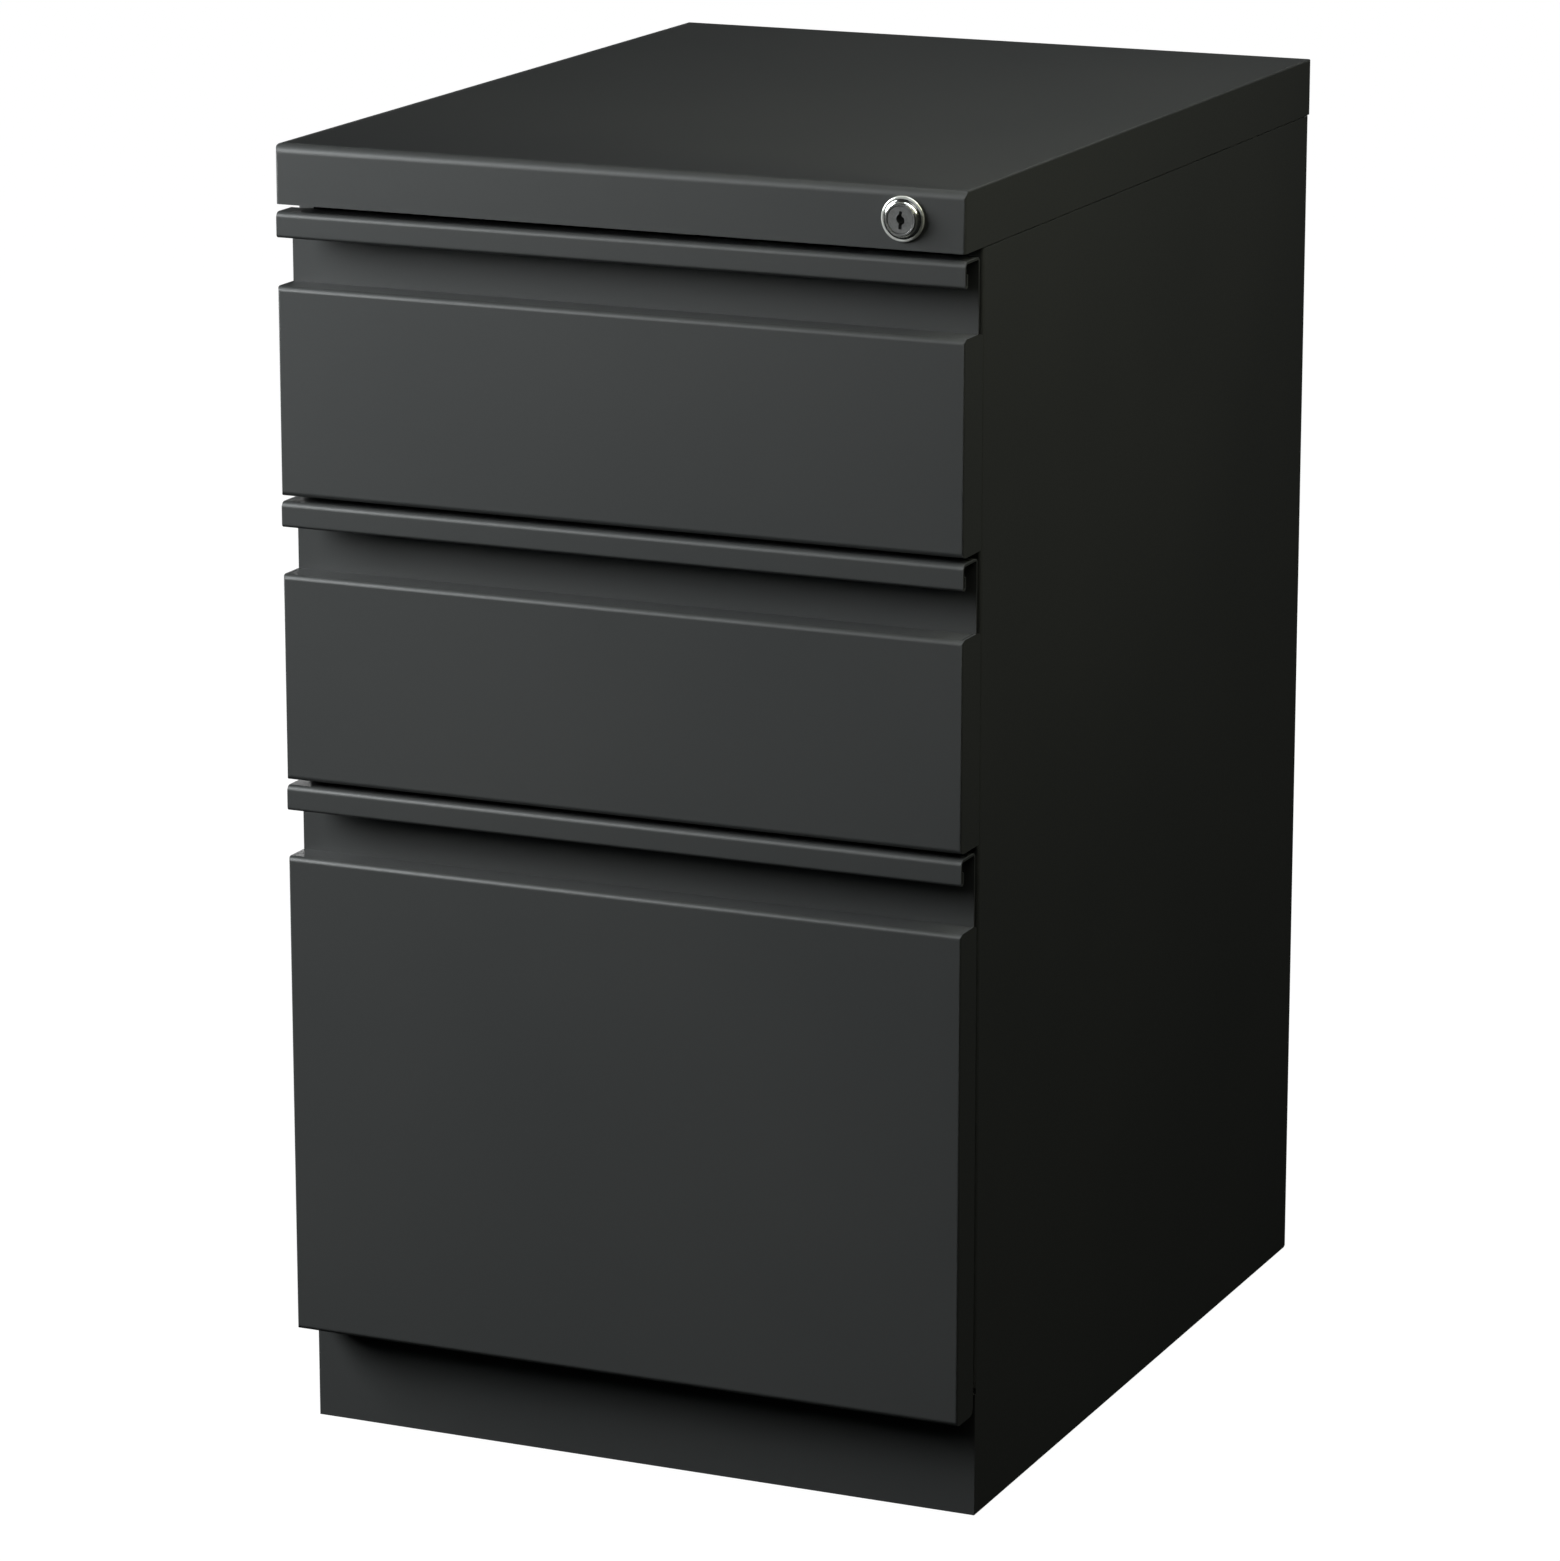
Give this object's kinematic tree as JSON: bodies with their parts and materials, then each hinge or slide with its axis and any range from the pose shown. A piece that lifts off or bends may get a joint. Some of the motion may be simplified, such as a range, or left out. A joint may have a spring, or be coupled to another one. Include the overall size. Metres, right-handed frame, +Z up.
{
  "type": "mobile pedestal filing cabinet",
  "caption": "Narrow charcoal sheet-steel filing pedestal: shallow drawers over a deep file drawer, full-width recessed pulls, round key lock in the top fascia, plinth hiding low casters.",
  "frame": {"origin": "bottom centre of the whole object's box, on the floor under the casters", "axes": "+Z up; the drawers open towards -Y; +X is to the right of someone facing the fronts, the lock's side"},
  "size_m": [0.381, 0.5124, 0.705],
  "materials": {
    "charcoal_powder_coat": "satin charcoal powder coat over sheet steel",
    "zinc_steel": "bright zinc plate",
    "chrome_lock": "polished chrome plate",
    "black_plastic": "moulded black nylon",
    "black_rubber": "dull black rubber",
    "raw_iron": "dull cast surface"
  },
  "bodies": {
    "case": {"top_cap": "charcoal_powder_coat", "left_side_panel": "charcoal_powder_coat", "right_side_panel": "charcoal_powder_coat", "back_panel": "charcoal_powder_coat", "base_pan": "charcoal_powder_coat", "toe_kick": "charcoal_powder_coat", "cross_rails": "charcoal_powder_coat", "left_uprights": "zinc_steel", "right_uprights": "zinc_steel", "case_slide_rails": "zinc_steel", "drawer_bumpers": "black_rubber", "lock_housing": "chrome_lock", "lock_nut": "zinc_steel", "lock_bar_guides": "black_plastic", "caster_plates": "zinc_steel", "caster_bolts": "zinc_steel", "counterweight": "raw_iron", "back_screws": "zinc_steel"},
    "lock_cylinder": {"lock_plug": "chrome_lock", "lock_cam": "zinc_steel", "cam_screw": "zinc_steel"},
    "lock_bar": {"lock_bar": "zinc_steel"},
    "top_drawer": {"top_drawer_face": "charcoal_powder_coat", "top_drawer_pull_panel": "charcoal_powder_coat", "top_drawer_sides": "charcoal_powder_coat", "top_drawer_bottom": "charcoal_powder_coat", "top_drawer_back": "charcoal_powder_coat", "top_drawer_slide_rails": "zinc_steel", "top_drawer_catch": "zinc_steel"},
    "middle_drawer": {"middle_drawer_face": "charcoal_powder_coat", "middle_drawer_pull_panel": "charcoal_powder_coat", "middle_drawer_sides": "charcoal_powder_coat", "middle_drawer_bottom": "charcoal_powder_coat", "middle_drawer_back": "charcoal_powder_coat", "middle_drawer_slide_rails": "zinc_steel", "middle_drawer_catch": "zinc_steel"},
    "file_drawer": {"file_drawer_face": "charcoal_powder_coat", "file_drawer_pull_panel": "charcoal_powder_coat", "file_drawer_sides": "charcoal_powder_coat", "file_drawer_bottom": "charcoal_powder_coat", "file_drawer_back": "charcoal_powder_coat", "file_drawer_slide_rails": "zinc_steel", "file_drawer_catch": "zinc_steel", "file_hanging_rails": "zinc_steel"},
    "top_slide_cages": {"top_ball_cages": "zinc_steel"},
    "middle_slide_cages": {"middle_ball_cages": "zinc_steel"},
    "file_middle_members": {"file_middle_rails": "zinc_steel"},
    "file_outer_cages": {"file_outer_ball_cages": "zinc_steel"},
    "file_inner_cages": {"file_inner_ball_cages": "zinc_steel"},
    "front_left_caster_fork": {"front_left_fork": "zinc_steel"},
    "front_left_caster_wheel": {"front_left_wheel": "black_plastic"},
    "front_right_caster_fork": {"front_right_fork": "zinc_steel"},
    "front_right_caster_wheel": {"front_right_wheel": "black_plastic"},
    "rear_left_caster_fork": {"rear_left_fork": "zinc_steel"},
    "rear_left_caster_wheel": {"rear_left_wheel": "black_plastic"},
    "rear_right_caster_fork": {"rear_right_fork": "zinc_steel"},
    "rear_right_caster_wheel": {"rear_right_wheel": "black_plastic"}
  },
  "joints": [
    {"name": "top_drawer_slide", "type": "slide", "parent": "case", "child": "top_drawer", "axis": [0, -1, 0], "range_m": [0, 0.338]},
    {"name": "top_cage_travel", "type": "slide", "parent": "case", "child": "top_slide_cages", "axis": [0, -1, 0], "range_m": [0, 0.17]},
    {"name": "middle_drawer_slide", "type": "slide", "parent": "case", "child": "middle_drawer", "axis": [0, -1, 0], "range_m": [0, 0.338]},
    {"name": "middle_cage_travel", "type": "slide", "parent": "case", "child": "middle_slide_cages", "axis": [0, -1, 0], "range_m": [0, 0.17]},
    {"name": "file_drawer_slide", "type": "slide", "parent": "case", "child": "file_drawer", "axis": [0, -1, 0], "range_m": [0, 0.44]},
    {"name": "file_middle_member_travel", "type": "slide", "parent": "case", "child": "file_middle_members", "axis": [0, -1, 0], "range_m": [0, 0.221]},
    {"name": "file_outer_cage_travel", "type": "slide", "parent": "case", "child": "file_outer_cages", "axis": [0, -1, 0], "range_m": [0, 0.111]},
    {"name": "file_inner_cage_travel", "type": "slide", "parent": "case", "child": "file_inner_cages", "axis": [0, -1, 0], "range_m": [0, 0.331]},
    {"name": "lock_turn", "type": "hinge", "parent": "case", "child": "lock_cylinder", "pos_m": [0.1575, -0.25175, 0.6895], "axis": [0, 1, 0], "range_deg": [0, 90]},
    {"name": "lock_bar_slide", "type": "slide", "parent": "case", "child": "lock_bar", "axis": [0, 0, -1], "range_m": [0, 0.0115]},
    {"name": "front_left_swivel", "type": "hinge", "parent": "case", "child": "front_left_caster_fork", "pos_m": [-0.148, -0.18575, 0.05], "axis": [0, 0, 1], "continuous": true},
    {"name": "front_left_roll", "type": "hinge", "parent": "front_left_caster_fork", "child": "front_left_caster_wheel", "pos_m": [-0.148, -0.17175, 0.02], "axis": [1, 0, 0], "continuous": true},
    {"name": "front_right_swivel", "type": "hinge", "parent": "case", "child": "front_right_caster_fork", "pos_m": [0.148, -0.18575, 0.05], "axis": [0, 0, 1], "continuous": true},
    {"name": "front_right_roll", "type": "hinge", "parent": "front_right_caster_fork", "child": "front_right_caster_wheel", "pos_m": [0.148, -0.17175, 0.02], "axis": [1, 0, 0], "continuous": true},
    {"name": "rear_left_swivel", "type": "hinge", "parent": "case", "child": "rear_left_caster_fork", "pos_m": [-0.148, 0.21225, 0.05], "axis": [0, 0, 1], "continuous": true},
    {"name": "rear_left_roll", "type": "hinge", "parent": "rear_left_caster_fork", "child": "rear_left_caster_wheel", "pos_m": [-0.148, 0.22625, 0.02], "axis": [1, 0, 0], "continuous": true},
    {"name": "rear_right_swivel", "type": "hinge", "parent": "case", "child": "rear_right_caster_fork", "pos_m": [0.148, 0.21225, 0.05], "axis": [0, 0, 1], "continuous": true},
    {"name": "rear_right_roll", "type": "hinge", "parent": "rear_right_caster_fork", "child": "rear_right_caster_wheel", "pos_m": [0.148, 0.22625, 0.02], "axis": [1, 0, 0], "continuous": true}
  ],
  "couplings": [
    {"joint": "top_cage_travel", "follows": "top_drawer_slide", "ratio": 0.5},
    {"joint": "middle_cage_travel", "follows": "middle_drawer_slide", "ratio": 0.5},
    {"joint": "file_middle_member_travel", "follows": "file_drawer_slide", "ratio": 0.5},
    {"joint": "file_outer_cage_travel", "follows": "file_drawer_slide", "ratio": 0.25},
    {"joint": "file_inner_cage_travel", "follows": "file_drawer_slide", "ratio": 0.75},
    {"joint": "lock_bar_slide", "follows": "lock_turn", "m_per_rad": 0.007203}
  ]
}
